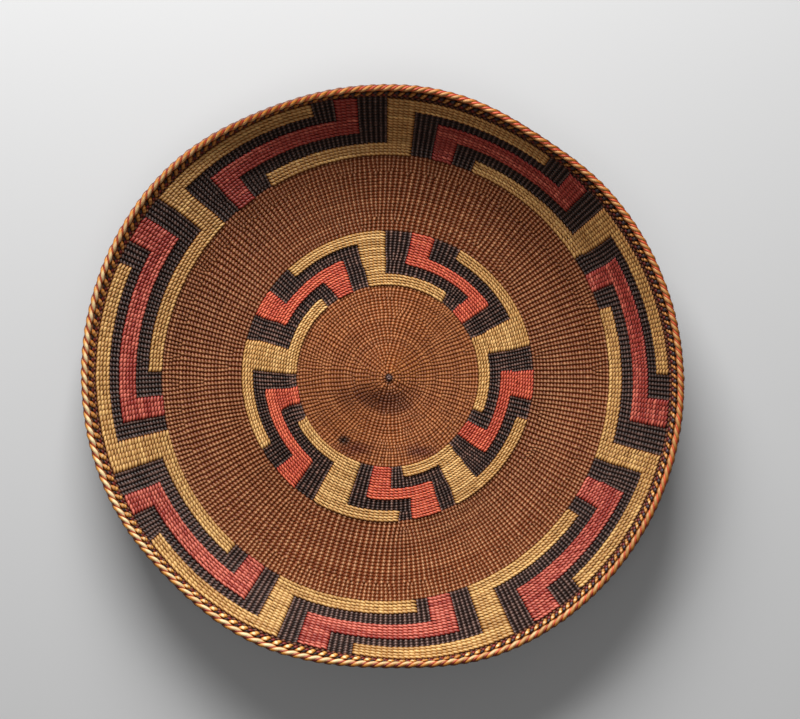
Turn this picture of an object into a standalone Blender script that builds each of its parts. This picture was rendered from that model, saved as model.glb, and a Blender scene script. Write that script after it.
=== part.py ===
"""A twined basketry tray, lying flat with its mouth up (+Z).

The origin is at the middle of the tray's outline, on the surface that it stands on. Every sheet of
the tray follows one surface, the underside of the weave. A place on it is an arc length, measured
along the weave from the start knot towards the rim, and a turn, in degrees clockwise from +Y as seen
from above. A lift is the height over that surface, square to it. The two strands of each twined row
hold the warps between them, so the weave is three layers: its back, the warps and its front.
"""

import bmesh
import bpy
import numpy as np

# Driving sizes, in metres along the weave
START_RADIUS = 0.0019
CENTRE_RUN = 0.0571
INNER_BAND_RUN = 0.0352
MIDDLE_RUN = 0.0514
OUTER_BAND_RUN = 0.0444
BORDER_ROW_RUN = 0.0019
RIM_ROW_RUN = 0.0046
CORD_RADIUS = 0.0021

# The raised middle: how far it reaches, how far it sits off the inner band's own centre, and how
# far the wall's circles sit off that band's
BOSS_RUN = 0.0270
BOSS_OFFSET = 0.00125
WALL_OFFSET = 0.0019

# Layers, in metres square to the weave
WEFT_THICKNESS = 0.0009
WARP_THICKNESS = 0.0010
OVERLAY_THICKNESS = 0.0007
RIM_ROW_PROUD = 0.0005
KNOT_PROUD = 0.0006
KNOT_BEVEL = 0.0004
CLEARANCE = 0.0003

# Leans of the wall above the level, in degrees. A wave is its order round the tray, the turn where
# it leans most, and its swing. A dent is its turn, its half-width and its extra lean.
BOSS_LEAN = 13.0
MIDDLE_LEAN = 17.0
BAND_LEAN = 34.2
BAND_WAVES = ((1, 72.0, 7.4), (2, 29.0, 8.3))
BAND_DENTS = ((190.0, 16.0, 9.5),)
RIM_LEAN = 42.5
RIM_WAVES = ((1, 168.0, 4.9), (2, 124.0, 3.3))
RIM_DENTS = (
    (32.0, 14.0, 28.0), (176.0, 14.0, 34.0), (226.0, 16.0, 25.0), (335.0, 16.0, 36.0), (355.0, 14.0, 18.0),
)
BOSS_HEADING = 138.0
WALL_HEADING = 218.5

# How the leans blend, as shares of the stretch they lie in
BOSS_CROWN_SHARE = 0.25
BOSS_SKIRT_SHARE = 0.55
MIDDLE_RISE_SHARE = 0.80
BAND_RISE_SHARE = 0.40
RIM_RISE_SHARE = 0.50

# Facets round the tray, sides of the edge cord and of the start knot
FACETS = 48
CORD_SIDES = 8
KNOT_SIDES = 12
ARC_STEPS = 900

# Where each ring bends, as shares of its own run
CENTRE_BEND_SHARES = (0.0, 0.17, 0.46, 1.0)
INNER_BEND_SHARES = (0.0, 1.0)
MIDDLE_BEND_SHARES = (0.0, 0.35, 0.70, 1.0)
OUTER_BEND_SHARES = (0.0, 0.20, 0.40, 0.65, 0.80, 1.0)
ROW_BEND_SHARES = (0.0, 1.0)

# Twined rows in each band, and the rows where the arms of its figures begin and end
BAND_ROWS = 20
INNER_ROWS = (0, 4, 8, 12, 16, 20)
OUTER_ROWS = (0, 4, 8, 13, 16, 20)

# Figures of the inner band, in degrees of turn: a stem from the inner to the outer edge, an inner
# arm that runs on clockwise to its turn, and an outer arm that runs back to its turn
INNER_GOLD = (
    (346.2, 358.6, 395.75, 315.5),
    (63.6, 77.2, 111.0, 27.75),
    (137.0, 151.2, 173.0, 105.5),
    (197.4, 212.3, 244.0, 176.0),
    (271.7, 286.5, 320.5, 238.5),
)
# A leg at the inner edge, one at the outer edge, both as from and to
INNER_RED = (
    (43.5, 56.0, 7.2, 19.0),
    (118.0, 130.0, 86.7, 99.0),
    (179.0, 190.0, 158.7, 170.2),
    (252.0, 264.5, 221.5, 231.5),
    (326.0, 338.2, 294.5, 306.7),
)
# Figures of the outer band, the other way round: the inner arm runs back, the outer arm runs on
OUTER_GOLD = (
    (51.5, 57.5, 21.5, 90.0),
    (105.6, 112.2, 72.5, 138.0),
    (152.5, 160.4, 125.5, 188.0),
    (202.8, 210.0, 173.0, 236.5),
    (250.0, 257.0, 222.75, 293.5),
    (306.7, 313.5, 270.5, 344.0),
    (359.5, 365.6, 328.3, 396.0),
)
OUTER_RED = (
    (11.0, 16.0, 41.5, 47.0),
    (61.7, 68.0, 95.0, 100.7),
    (116.2, 122.5, 143.0, 148.7),
    (163.5, 170.0, 192.8, 198.8),
    (213.4, 219.0, 240.5, 246.0),
    (260.8, 266.5, 298.0, 303.5),
    (317.6, 323.7, 348.5, 353.6),
)

# Colours and roughness of the plain materials
BROWN = ((0.235, 0.092, 0.036, 1.0), 0.62)
BROWN_BACK = ((0.260, 0.125, 0.055, 1.0), 0.66)
DARK = ((0.030, 0.021, 0.023, 1.0), 0.60)
WARP_BROWN = ((0.330, 0.190, 0.090, 1.0), 0.70)
GOLD = ((0.620, 0.350, 0.090, 1.0), 0.45)
RED = ((0.480, 0.060, 0.045, 1.0), 0.50)
RED_BROWN = ((0.130, 0.035, 0.025, 1.0), 0.60)

# Arc length at each boundary between the rings
CENTRE_END = START_RADIUS + CENTRE_RUN
INNER_END = CENTRE_END + INNER_BAND_RUN
MIDDLE_END = INNER_END + MIDDLE_RUN
OUTER_END = MIDDLE_END + OUTER_BAND_RUN
BORDER_END = OUTER_END + BORDER_ROW_RUN
RIM_END = BORDER_END + RIM_ROW_RUN
CORD_ARC = RIM_END + CLEARANCE + CORD_RADIUS
LAST_ARC = CORD_ARC + CORD_RADIUS

# Lift at each layer's two faces
BACK = (0.0, WEFT_THICKNESS)
WARPS = (BACK[1] + CLEARANCE, BACK[1] + CLEARANCE + WARP_THICKNESS)
FRONT = (WARPS[1] + CLEARANCE, WARPS[1] + CLEARANCE + WEFT_THICKNESS)
OVERLAY = (FRONT[1] + CLEARANCE, FRONT[1] + CLEARANCE + OVERLAY_THICKNESS)
FULL_TURN = 360.0


def smooth(share):
    """An even S-curve: 0 at and below 0, 1 at and above 1."""
    share = np.clip(share, 0.0, 1.0)
    return share * share * (3.0 - 2.0 * share)


def lean_round(mean, waves, dents, turn):
    """The mean lean plus its waves and dents, at each turn."""
    lean = mean + 0.0 * turn
    for order, heading, swing in waves:
        lean = lean + swing * np.cos(np.radians(order * (turn - heading)))
    for heading, half_width, extra in dents:
        away = (turn - heading + FULL_TURN / 2) % FULL_TURN - FULL_TURN / 2
        lean = lean + extra * np.exp(-((away / half_width) ** 2))
    return lean


def wall_lean(arc, turn):
    """Lean of the weave in radians: the boss falls outwards, the base is level, the wall rises."""
    band = lean_round(BAND_LEAN, BAND_WAVES, BAND_DENTS, turn)
    rim = lean_round(RIM_LEAN, RIM_WAVES, RIM_DENTS, turn)
    crown = smooth(arc / (BOSS_CROWN_SHARE * BOSS_RUN))
    skirt = smooth((arc / BOSS_RUN - BOSS_SKIRT_SHARE) / (1.0 - BOSS_SKIRT_SHARE))
    lean = -BOSS_LEAN * crown * (1.0 - skirt)
    lean = lean + MIDDLE_LEAN * smooth((arc - INNER_END) / (MIDDLE_RISE_SHARE * MIDDLE_RUN))
    rise = smooth((arc - MIDDLE_END) / (BAND_RISE_SHARE * OUTER_BAND_RUN))
    lean = lean + (band - MIDDLE_LEAN) * rise
    rise = smooth((arc - OUTER_END) / (BORDER_ROW_RUN + RIM_RISE_SHARE * RIM_ROW_RUN))
    return np.radians(lean + (rim - band) * rise)


def facet_table():
    """Radius, height and lean along the weave at each facet edge round the tray.

    The radius sums the cosine of the lean and the height its sine. The inner band's circles sit off
    the boss by BOSS_OFFSET, which comes in smoothly over the centre's run, and the wall's circles
    sit off the inner band's by WALL_OFFSET, which comes in over the middle's run.
    """
    arc = np.linspace(0.0, LAST_ARC, ARC_STEPS)
    turn = np.arange(FACETS)[:, None] * FULL_TURN / FACETS
    lean = wall_lean(arc[None, :], turn)
    step = arc[1] - arc[0]
    radius = np.zeros_like(lean)
    height = np.zeros_like(lean)
    radius[:, 1:] = np.cumsum(0.5 * step * (np.cos(lean[:, 1:]) + np.cos(lean[:, :-1])), axis=1)
    height[:, 1:] = np.cumsum(0.5 * step * (np.sin(lean[:, 1:]) + np.sin(lean[:, :-1])), axis=1)
    shift = BOSS_OFFSET * smooth(arc / CENTRE_END)[None, :]
    radius = radius - shift * np.cos(np.radians(turn - BOSS_HEADING))
    shift = WALL_OFFSET * smooth((arc - INNER_END) / MIDDLE_RUN)[None, :]
    radius = radius + shift * np.cos(np.radians(turn - WALL_HEADING))
    base = np.interp(INNER_END, arc, height[0])
    return arc, radius, height - base, lean


TABLE_ARC, TABLE_RADIUS, TABLE_HEIGHT, TABLE_LEAN = facet_table()


def facet_points(arc, facet, lift):
    """Points on one facet edge: along the weave by arc, then off it by lift."""
    facet = facet % FACETS
    radius = np.interp(arc, TABLE_ARC, TABLE_RADIUS[facet])
    height = np.interp(arc, TABLE_ARC, TABLE_HEIGHT[facet])
    lean = np.interp(arc, TABLE_ARC, TABLE_LEAN[facet])
    radius = radius - lift * np.sin(lean)
    height = height + lift * np.cos(lean)
    turn = np.radians(facet * FULL_TURN / FACETS)
    return np.stack([radius * np.sin(turn), radius * np.cos(turn), height], axis=-1)


def points(arc, turn, lift):
    """Points at one turn, on the flat facet between the two facet edges beside it."""
    place = turn * FACETS / FULL_TURN
    before = int(np.floor(place))
    share = place - before
    near = facet_points(arc, before, lift)
    if share == 0.0:
        return near
    return near * (1.0 - share) + facet_points(arc, before + 1, lift) * share


def outline_middle():
    """Middle of the tray's outline: the middle of the edge cord's reach along X and Y."""
    reach = [facet_points(np.array([LAST_ARC]), k, 0.5 * FRONT[1])[0] for k in range(FACETS)]
    reach = np.array(reach)
    middle = 0.5 * (reach.min(axis=0) + reach.max(axis=0))
    return np.array([middle[0], middle[1], 0.0])


ORIGIN = outline_middle()


def material(name, finish):
    """A plain material of one colour and roughness."""
    colour, roughness = finish
    made = bpy.data.materials.new(name)
    made.use_nodes = True
    shader = made.node_tree.nodes["Principled BSDF"]
    shader.inputs["Base Color"].default_value = colour
    shader.inputs["Roughness"].default_value = roughness
    shader.inputs["Metallic"].default_value = 0.0
    return made


def new_object(name, mesh, finish):
    """The mesh as an object of its own, with its own material."""
    mesh.materials.append(material(name + "_finish", finish))
    made = bpy.data.objects.new(name, mesh)
    bpy.context.scene.collection.objects.link(made)
    return made


def solid(name, low, high, filled, closed, finish):
    """A closed body between two grids of points, over the grid's filled cells.

    low and high are grids of points, one row for each arc and one column for each turn. A filled
    cell gets a face above and one below, and each of its sides with no filled neighbour gets a wall.
    """
    rows, columns = low.shape[:2]
    bm = bmesh.new()
    made = {}

    def vert(grid, i, j):
        key = (grid, i, j % columns)
        if key not in made:
            source = high if grid else low
            made[key] = bm.verts.new(source[i, j % columns] - ORIGIN)
        return made[key]

    def is_filled(i, j):
        if closed:
            j = j % columns
        inside = 0 <= i < filled.shape[0] and 0 <= j < filled.shape[1]
        return inside and bool(filled[i, j])

    def wall(start, end):
        bm.faces.new([vert(0, *start), vert(0, *end), vert(1, *end), vert(1, *start)])

    for i, j in np.argwhere(filled):
        corners = [(i, j), (i + 1, j), (i + 1, j + 1), (i, j + 1)]
        # Every layer is split along the same diagonal, so that twisted cells keep their clearance.
        for half in ((0, 1, 2), (0, 2, 3)):
            bm.faces.new([vert(1, *corners[k]) for k in reversed(half)])
            bm.faces.new([vert(0, *corners[k]) for k in half])
        beside = [(i, j - 1), (i + 1, j), (i, j + 1), (i - 1, j)]
        for side, neighbour in enumerate(beside):
            if not is_filled(*neighbour):
                wall(corners[(side + 1) % 4], corners[side])
    bmesh.ops.recalc_face_normals(bm, faces=bm.faces)
    mesh = bpy.data.meshes.new(name)
    bm.to_mesh(mesh)
    bm.free()
    return new_object(name, mesh, finish)


def ring_arcs(start, run, shares):
    """Arc lengths where a ring bends, drawn in by half the clearance at both of its edges."""
    return start + 0.5 * CLEARANCE + np.array(shares) * (run - CLEARANCE)


def ring(name, arcs, lifts, finish):
    """A ring of weave all round the tray, between two lifts."""
    low = np.stack([facet_points(arcs, k, lifts[0]) for k in range(FACETS)], axis=1)
    high = np.stack([facet_points(arcs, k, lifts[1]) for k in range(FACETS)], axis=1)
    filled = np.ones((len(arcs) - 1, FACETS), dtype=bool)
    return solid(name, low, high, filled, True, finish)


def proud(lifts, extra_low, extra_high):
    """The same two lifts, standing out further on either face."""
    return (lifts[0] - extra_low, lifts[1] + extra_high)


def weave_rings():
    """Every ring of wefts, as its back and its front layer."""
    rings = (
        ("centre_weave", START_RADIUS, CENTRE_RUN, CENTRE_BEND_SHARES, BROWN),
        ("inner_band", CENTRE_END, INNER_BAND_RUN, INNER_BEND_SHARES, DARK),
        ("middle_weave", INNER_END, MIDDLE_RUN, MIDDLE_BEND_SHARES, BROWN),
        ("outer_band", MIDDLE_END, OUTER_BAND_RUN, OUTER_BEND_SHARES, DARK),
        ("border_row", OUTER_END, BORDER_ROW_RUN, ROW_BEND_SHARES, RED_BROWN),
    )
    for name, start, run, shares, finish in rings:
        arcs = ring_arcs(start, run, shares)
        ring(name + "_back", arcs, BACK, finish)
        ring(name + "_front", arcs, FRONT, finish)
    arcs = ring_arcs(BORDER_END, RIM_ROW_RUN, ROW_BEND_SHARES)
    ring("rim_row_back", arcs, proud(BACK, RIM_ROW_PROUD, 0.0), GOLD)
    ring("rim_row_front", arcs, proud(FRONT, 0.0, RIM_ROW_PROUD), GOLD)


def warp_sheet():
    """The warps, side by side from the start knot to the edge cord, as one thin sheet."""
    pieces = (
        (START_RADIUS, CENTRE_RUN, CENTRE_BEND_SHARES),
        (CENTRE_END, INNER_BAND_RUN, INNER_BEND_SHARES),
        (INNER_END, MIDDLE_RUN, MIDDLE_BEND_SHARES),
        (MIDDLE_END, OUTER_BAND_RUN, OUTER_BEND_SHARES),
        (OUTER_END, BORDER_ROW_RUN, ROW_BEND_SHARES),
        (BORDER_END, RIM_ROW_RUN, ROW_BEND_SHARES),
    )
    edges = [ring_arcs(start, run, shares) for start, run, shares in pieces]
    arcs = [edges[0]] + [edge[1:] for edge in edges[1:]]
    ring("warps", np.concatenate(arcs), WARPS, WARP_BROWN)


def start_knot():
    """The knot that the warps start from: a short round plug through the middle of the boss."""
    crown = TABLE_HEIGHT[0][0]
    low = crown - KNOT_PROUD
    high = crown + FRONT[1] + KNOT_PROUD
    bm = bmesh.new()
    bmesh.ops.create_cone(
        bm, cap_ends=True, segments=KNOT_SIDES, radius1=START_RADIUS, radius2=START_RADIUS, depth=high - low
    )
    rims = [edge for edge in bm.edges if abs(edge.verts[0].co.z - edge.verts[1].co.z) < KNOT_BEVEL]
    bmesh.ops.bevel(bm, geom=rims, offset=KNOT_BEVEL, segments=1, affect="EDGES")
    bmesh.ops.recalc_face_normals(bm, faces=bm.faces)
    mesh = bpy.data.meshes.new("start_knot")
    bm.to_mesh(mesh)
    bm.free()
    made = new_object("start_knot", mesh, RED_BROWN)
    made.location = (-ORIGIN[0], -ORIGIN[1], 0.5 * (low + high))


def edge_cord():
    """The cord round the edge: a circle in arc and lift, carried round the tray."""
    around = np.linspace(0.0, 2.0 * np.pi, CORD_SIDES, endpoint=False)
    arcs = CORD_ARC + CORD_RADIUS * np.cos(around)
    lifts = 0.5 * FRONT[1] + CORD_RADIUS * np.sin(around)
    bm = bmesh.new()
    loops = []
    for facet in range(FACETS):
        loop = facet_points(arcs, facet, lifts) - ORIGIN
        loops.append([bm.verts.new(point) for point in loop])
    for facet in range(FACETS):
        here = loops[facet]
        after = loops[(facet + 1) % FACETS]
        for side in range(CORD_SIDES):
            other = (side + 1) % CORD_SIDES
            bm.faces.new([here[side], here[other], after[other], after[side]])
    bmesh.ops.recalc_face_normals(bm, faces=bm.faces)
    mesh = bpy.data.meshes.new("edge_cord")
    bm.to_mesh(mesh)
    bm.free()
    new_object("edge_cord", mesh, GOLD)


def figure(name, start, run, bends, boxes, finish):
    """One figure of a band: the union of boxes, each from and to in rows and from and to in turn."""
    rows = sorted({row for box in boxes for row in box[:2]})
    row_shares = {row / BAND_ROWS for row in rows}
    inner = min(row_shares)
    outer = max(row_shares)
    shares = sorted(row_shares | {share for share in bends if inner < share < outer})
    first = min(box[2] for box in boxes)
    last = max(box[3] for box in boxes)
    facet = FULL_TURN / FACETS
    edges = np.arange(np.ceil(first / facet), np.floor(last / facet) + 1) * facet
    turns = sorted({turn for box in boxes for turn in box[2:]} | set(edges.tolist()))
    arcs = ring_arcs(start, run, shares)
    middle_shares = 0.5 * (np.array(shares[1:]) + np.array(shares[:-1]))
    middle_turns = 0.5 * (np.array(turns[1:]) + np.array(turns[:-1]))
    filled = np.zeros((len(middle_shares), len(middle_turns)), dtype=bool)
    for row_from, row_to, turn_from, turn_to in boxes:
        in_rows = (middle_shares > row_from / BAND_ROWS) & (middle_shares < row_to / BAND_ROWS)
        in_turns = (middle_turns > turn_from) & (middle_turns < turn_to)
        filled |= in_rows[:, None] & in_turns[None, :]
    low = np.stack([points(arcs, turn, OVERLAY[0]) for turn in turns], axis=1)
    high = np.stack([points(arcs, turn, OVERLAY[1]) for turn in turns], axis=1)
    return solid(name, low, high, filled, False, finish)


def inner_figures():
    """The inner band's figures: gold hooks, and red steps between them."""
    rows = INNER_ROWS
    for number, (stem_from, stem_to, inner_to, outer_from) in enumerate(INNER_GOLD, 1):
        boxes = (
            (rows[0], rows[5], stem_from, stem_to),
            (rows[0], rows[1], stem_from, inner_to),
            (rows[4], rows[5], outer_from, stem_to),
        )
        figure(f"inner_gold_{number}", CENTRE_END, INNER_BAND_RUN, INNER_BEND_SHARES, boxes, GOLD)
    for number, (inner_from, inner_to, outer_from, outer_to) in enumerate(INNER_RED, 1):
        boxes = (
            (rows[0], rows[3], inner_from, inner_to),
            (rows[2], rows[3], outer_from, inner_to),
            (rows[2], rows[5], outer_from, outer_to),
        )
        figure(f"inner_red_{number}", CENTRE_END, INNER_BAND_RUN, INNER_BEND_SHARES, boxes, RED)


def outer_figures():
    """The outer band's figures: the same hooks and steps, turned the other way."""
    rows = OUTER_ROWS
    for number, (stem_from, stem_to, inner_from, outer_to) in enumerate(OUTER_GOLD, 1):
        boxes = (
            (rows[0], rows[5], stem_from, stem_to),
            (rows[0], rows[1], inner_from, stem_to),
            (rows[4], rows[5], stem_from, outer_to),
        )
        figure(f"outer_gold_{number}", MIDDLE_END, OUTER_BAND_RUN, OUTER_BEND_SHARES, boxes, GOLD)
    for number, (inner_from, inner_to, outer_from, outer_to) in enumerate(OUTER_RED, 1):
        boxes = (
            (rows[0], rows[3], inner_from, inner_to),
            (rows[2], rows[3], inner_from, outer_to),
            (rows[2], rows[5], outer_from, outer_to),
        )
        figure(f"outer_red_{number}", MIDDLE_END, OUTER_BAND_RUN, OUTER_BEND_SHARES, boxes, RED)


def build():
    for old in list(bpy.data.objects):
        bpy.data.objects.remove(old, do_unlink=True)
    start_knot()
    warp_sheet()
    weave_rings()
    edge_cord()
    inner_figures()
    outer_figures()


build()
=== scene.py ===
"""The looks of a twined basketry tray: its warps, its twined wefts, the grass overlay of its figures,
its rim row and its twisted edge cord, each strand modelled.

A place on the tray is an arc length, measured along the weave from the start knot towards the rim,
and a turn, in degrees clockwise from +Y as seen from above. A lift is the height over the weave's
underside, square to it. Rows are counted outwards from the start knot. A place along a row is also
given in warps, whole at the middle of each warp.
"""

import bpy
import numpy as np
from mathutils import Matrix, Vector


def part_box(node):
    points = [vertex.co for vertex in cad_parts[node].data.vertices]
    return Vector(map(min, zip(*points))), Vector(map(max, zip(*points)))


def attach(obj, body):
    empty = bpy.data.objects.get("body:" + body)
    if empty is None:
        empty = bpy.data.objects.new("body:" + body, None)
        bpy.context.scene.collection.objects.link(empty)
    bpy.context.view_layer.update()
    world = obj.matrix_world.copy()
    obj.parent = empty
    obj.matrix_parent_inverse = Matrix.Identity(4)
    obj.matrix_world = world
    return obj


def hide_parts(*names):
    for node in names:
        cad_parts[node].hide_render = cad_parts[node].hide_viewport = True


# The tray's sizes along the weave, in metres, as in the solids
START_RADIUS = 0.0019
CENTRE_RUN = 0.0571
INNER_BAND_RUN = 0.0352
MIDDLE_RUN = 0.0514
OUTER_BAND_RUN = 0.0444
BORDER_ROW_RUN = 0.0019
RIM_ROW_RUN = 0.0046
CORD_RADIUS = 0.0021
CLEARANCE = 0.0003
BOSS_RUN = 0.0270
BOSS_OFFSET = 0.00125
WALL_OFFSET = 0.0019
WEAVE_THICKNESS = 0.0034

# Leans of the wall above the level, in degrees. A wave is its order round the tray, the turn where
# it leans most, and its swing. A dent is its turn, its half-width and its extra lean.
BOSS_LEAN = 13.0
MIDDLE_LEAN = 17.0
BAND_LEAN = 34.2
BAND_WAVES = ((1, 72.0, 7.4), (2, 29.0, 8.3))
BAND_DENTS = ((190.0, 16.0, 9.5),)
RIM_LEAN = 42.5
RIM_WAVES = ((1, 168.0, 4.9), (2, 124.0, 3.3))
RIM_DENTS = (
    (32.0, 14.0, 28.0), (176.0, 14.0, 34.0), (226.0, 16.0, 25.0), (335.0, 16.0, 36.0), (355.0, 14.0, 18.0),
)

# Turns towards which the start knot sits off the middle of the inner band, and the wall off it
BOSS_HEADING = 138.0
WALL_HEADING = 218.5

# Shares of a ring's run over which its lean comes in. The boss's lean fades from BOSS_SKIRT_SHARE on.
BOSS_CROWN_SHARE = 0.25
BOSS_SKIRT_SHARE = 0.55
MIDDLE_RISE_SHARE = 0.80
BAND_RISE_SHARE = 0.40
RIM_RISE_SHARE = 0.50

# Arc lengths at which the rings end, of the edge cord's middle, and the last that is worked out
CENTRE_END = START_RADIUS + CENTRE_RUN
INNER_END = CENTRE_END + INNER_BAND_RUN
MIDDLE_END = INNER_END + MIDDLE_RUN
OUTER_END = MIDDLE_END + OUTER_BAND_RUN
BORDER_END = OUTER_END + BORDER_ROW_RUN
RIM_END = BORDER_END + RIM_ROW_RUN
CORD_ARC = RIM_END + CLEARANCE + CORD_RADIUS
LAST_ARC = CORD_ARC + 2.0 * CORD_RADIUS

# Twined rows in each ring
CENTRE_ROWS = 29
BAND_ROWS = 20
MIDDLE_ROWS = 23

# Warps round the tray at an arc length: they fork as it widens, most of all before the outer band
WARP_COUNTS = (
    (0.0026, 10), (0.0065, 20), (0.0129, 36), (0.0194, 52), (0.0290, 78), (0.0387, 100),
    (0.0450, 124), (0.0516, 140), (0.0580, 160), (0.0760, 196), (0.0970, 222), (0.1050, 242),
    (0.1338, 244), (0.1350, 316), (0.1500, 326), (0.1800, 348),
)

# A new warp starts in a wide gap at a share of its width and grows over a few rows. Wider gaps get
# more of them by the power of their width, and the spread keeps them from being evenly spaced. The
# warps' widths differ by WARP_UNEVEN, in a sine that moves on by WARP_UNEVEN_STEP from each to the next.
WARP_GROW_ROWS = 4.0
WARP_BIRTH_SHARE = 0.45
WARP_UNEVEN = 0.08
WARP_UNEVEN_STEP = 2.4
NEW_WARP_SPREAD = (0.2, 0.8)
WIDE_GAP_POWER = 3
WARP_SETTLING = 10

# Rows where the arms and legs of the figures begin and end
INNER_ROWS = (0, 4, 8, 12, 16, 20)
OUTER_ROWS = (0, 4, 8, 13, 16, 20)

# Hooks of the inner band, in degrees: stem from and to, inner arm on to, outer arm back to
INNER_GOLD = (
    (346.95, 358.7, 395.2, 315.8),
    (64.2, 76.9, 110.5, 28.2),
    (138.2, 150.8, 173.2, 107.2),
    (198.4, 212.2, 244.0, 176.0),
    (272.9, 285.4, 319.3, 239.3),
)
# Steps of the inner band: inner leg from and to, outer leg from and to
INNER_RED = (
    (43.6, 55.4, 7.8, 18.2),
    (118.3, 129.9, 87.2, 98.4),
    (179.1, 190.4, 158.5, 169.7),
    (252.6, 264.5, 220.5, 231.7),
    (326.6, 337.9, 295.1, 306.7),
)
# Hooks and steps of the outer band, where an inner arm runs back and an outer arm runs on
OUTER_GOLD = (
    (51.8, 57.6, 21.3, 90.1),
    (105.8, 111.7, 72.5, 137.8),
    (153.1, 159.7, 125.6, 187.7),
    (203.4, 209.5, 173.0, 236.3),
    (250.7, 256.4, 222.2, 293.5),
    (307.9, 313.3, 270.6, 344.0),
    (359.6, 365.9, 327.9, 396.0),
)
OUTER_RED = (
    (11.1, 16.5, 41.5, 46.6),
    (62.0, 68.0, 94.7, 100.8),
    (116.1, 122.2, 143.1, 148.9),
    (163.6, 169.9, 193.1, 198.9),
    (213.3, 218.7, 240.9, 246.1),
    (260.6, 265.9, 298.0, 303.5),
    (317.8, 323.8, 348.5, 353.2),
)

# A twined strand, in metres and as shares of the rows' pitch: how far it swings to either face, its
# half thickness, and how much thicker it is between the warps. Then its slant, neck and belly, how
# blunt a bead is, how much longer it stays on the face, and how much painted shade its sides get.
MID_LIFT = 0.5 * WEAVE_THICKNESS
STRAND_SWING = 0.00128
STRAND_HALF_HEIGHT = 0.00030
STRAND_RISE = 0.00014
STRAND_SLANT_SHARE = 0.14
STRAND_NECK_SHARE = 0.40
STRAND_BELLY_SHARE = 0.08
STRAND_BLUNT = 1.3
STRAND_BIAS = 0.08
STRAND_EDGE = 0.32
STRAND_SAMPLES = 4
STRAND_SIDES = 4

# How a strand of the centre differs, and the share of the inner band over which that ends
CENTRE_SWING_CUT = 0.00016
CENTRE_SLANT_CUT_SHARE = 0.05
CENTRE_WIDER_SHARE = 0.12
CENTRE_BLUNT_CUT = 0.25
CENTRE_EDGE_CUT = 0.22
CENTRE_FADE_SHARE = 0.2

# Unevenness of the hand, in metres or as a share of the width, and how far rows stray. A wave is its
# share, its order round the tray, its phase, and how much its phase gains for each metre of arc.
HAND_LIFT = 0.00007
HAND_WIDTH_SHARE = 0.09
RIDGE_LIFT = 0.00005
ROW_WANDER = 0.00035
WANDER_WAVES = ((0.45, 2, 1.1, 30.0), (0.35, 3, 2.3, -55.0), (0.30, 5, 0.7, 95.0), (0.22, 9, 0.0, -160.0))
WANDER_END_RUN = 0.02

# Tones, from 0 to 1: how far one root or grass reaches, in warps, how much its tone differs from the
# next, the grain within it, and the slow change from one side of the tray to the other, which is
# painted light: painted sheen on the side across from the key lamp, painted shade on the lamp's side
MEAN_TONE = 0.5
ROOT_WARPS = 32
GRASS_WARPS = 14
SPLICE_SWING = 0.22
TONE_GRAIN = 0.07
RIDGE_TONE = 0.07
PAINTED_LIGHT_SWING = 0.24
INNER_PAINTED_LIGHT_SHARE = 0.45
PAINTED_SHEEN_HEADING = 200.0

# A bead's crest, which sets its painted highlight, grows with this power of its swing to either face
CREST_SHARPNESS = 1.8

# A warp, in metres and as shares: of the warps' pitch, of the start radius and of its own width
WARP_HALF_HEIGHT = 0.00036
WARP_WIDTH_SHARE = 0.42
WARP_START_SHARE = 0.6
WARP_TIP_SHARE = 0.4
WARP_SIDES = 4
# The warps' crest keeps them mostly in the crevices' painted shade
WARP_CREST = 0.3
WARP_TONES = (0.2, 0.8)

# An overlay stitch, in metres and as shares of the warps' and the rows' pitch
STITCH_LIFT = 0.00350
STITCH_LIFT_UNEVEN = 0.00008
STITCH_DROP = 0.00125
STITCH_HALF_HEIGHT = 0.00046
STITCH_REACH_SHARE = 0.92
STITCH_SLANT_SHARE = 0.38
STITCH_SHIFT_SHARE = 0.03
STITCH_WIDTH_SHARE = 0.40
STITCH_OUTER_WIDTH_SHARE = 0.43
STITCH_UNEVEN = 0.08
STITCH_OVERHANG_SHARE = 0.45
STITCH_TIP_SHARE = 0.96
STITCH_BLUNT = 3
# Painted shade towards a stitch's ends and on its sides
STITCH_CREST_DROP = 0.60
STITCH_EDGE = 0.46
STITCH_TONE_UNEVEN = 0.10
STITCH_RINGS = 6
STITCH_SIDES = 6

# A strand of the rim row, in metres and as shares of its pitch
RIM_HALF_HEIGHT = 0.00055
RIM_SLANT_SHARE = 0.19
RIM_LAG = 0.25
RIM_INNER_PHASE = 0.35
RIM_NECK_SHARE = 0.07
RIM_BLUNT = 0.80
# Painted shade on a strand's sides, and painted light by heading: lighter, with painted highlights, about
# GOLDER_HEADING and darker opposite
RIM_EDGE = 0.38
RIM_PAINTED_LIGHT_SWING = 0.14
RIM_SAMPLES = 6
RIM_SIDES = 8
GOLDER_HEADING = 235.0

# The rim's strands: name, finish, phase in warps, swing in metres, belly, what GOLDER_HEADING adds to
# it, offset outwards, bias to the face, and what GOLDER_HEADING adds to that
RIM_STRANDS = (
    ("rim_outer_gold_strand", "rim_gold", 0.0, 0.00158, 0.18, 0.080, 0.20, 0.46, 0.34),
    ("rim_inner_gold_strand", "rim_deep_gold", RIM_INNER_PHASE, 0.00130, 0.15, 0.050, -0.19, 0.22, 0.25),
    ("rim_black_strand", "rim_black", 1.0, 0.00124, 0.16, -0.060, 0.15, 0.00, -0.30),
    ("rim_red_strand", "rim_red", 1.0 + RIM_INNER_PHASE, 0.00120, 0.17, 0.000, -0.22, 0.02, -0.10),
)

# The edge cord: two gold and two red strands twisted together, a whole turn for every four warps
CORD_WARPS = 4
GOLD_PLY_RADIUS = 0.00118
GOLD_PLY_WIDER = 0.00006
RED_PLY_RADIUS = 0.00080
PLY_RADIUS_UNEVEN = 0.05
PLY_OFFSET = 0.00100
PLY_OFFSET_UNEVEN = 0.045
RED_PLY_SINK = 0.00004
RED_PLY_SWING = 0.00010
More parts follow.
